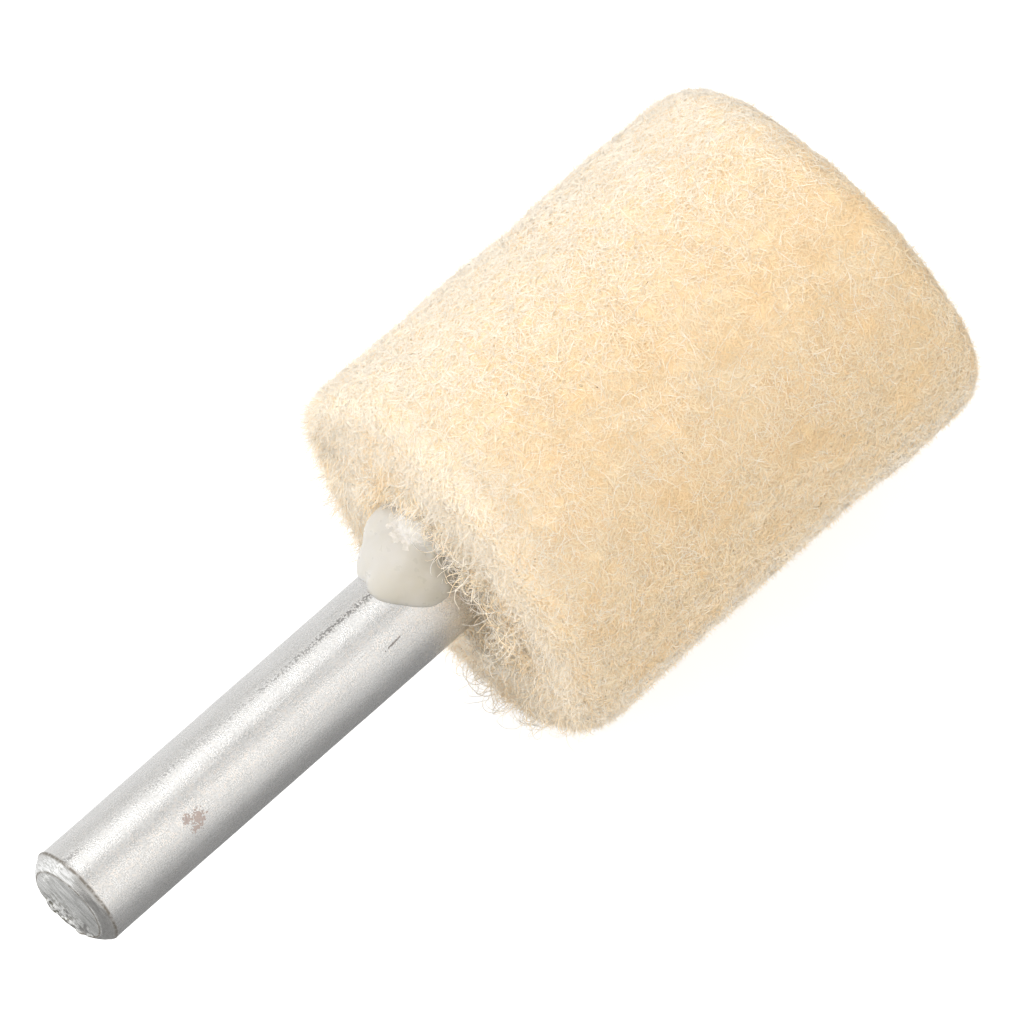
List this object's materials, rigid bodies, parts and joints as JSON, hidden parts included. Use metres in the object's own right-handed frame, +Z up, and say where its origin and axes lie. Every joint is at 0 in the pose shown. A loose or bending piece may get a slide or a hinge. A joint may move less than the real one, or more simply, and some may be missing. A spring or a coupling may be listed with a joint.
{
  "type": "felt polishing wheel",
  "caption": "Mounted felt bob: a cylinder of pressed wool felt with worn, rounded rims, glued onto a straight steel shank, for polishing stone and metal.",
  "frame": {"origin": "on the spin axis, in the plane of the felt's shank-side face, where the shank leaves the felt, which is also the middle of the whole tool", "axes": "+Y along the spin axis, from the shank towards the felt's free nose; +Z up, with the tool lying on its side; +X to the right, as seen from the shank's end"},
  "size_m": [0.025, 0.06, 0.025],
  "materials": {
    "wool_felt": "pressed natural wool felt with a short, soft nap",
    "shank_steel": "bright bare steel with fine marks along its length",
    "hidden_glue": "cured milky glue",
    "glue": "cured milky glue, slightly see-through, glossy"
  },
  "bodies": {
    "root": {"felt_head": "wool_felt", "shank": "shank_steel", "bore_adhesive": "hidden_glue", "glue_bead": "glue"}
  },
  "joints": []
}
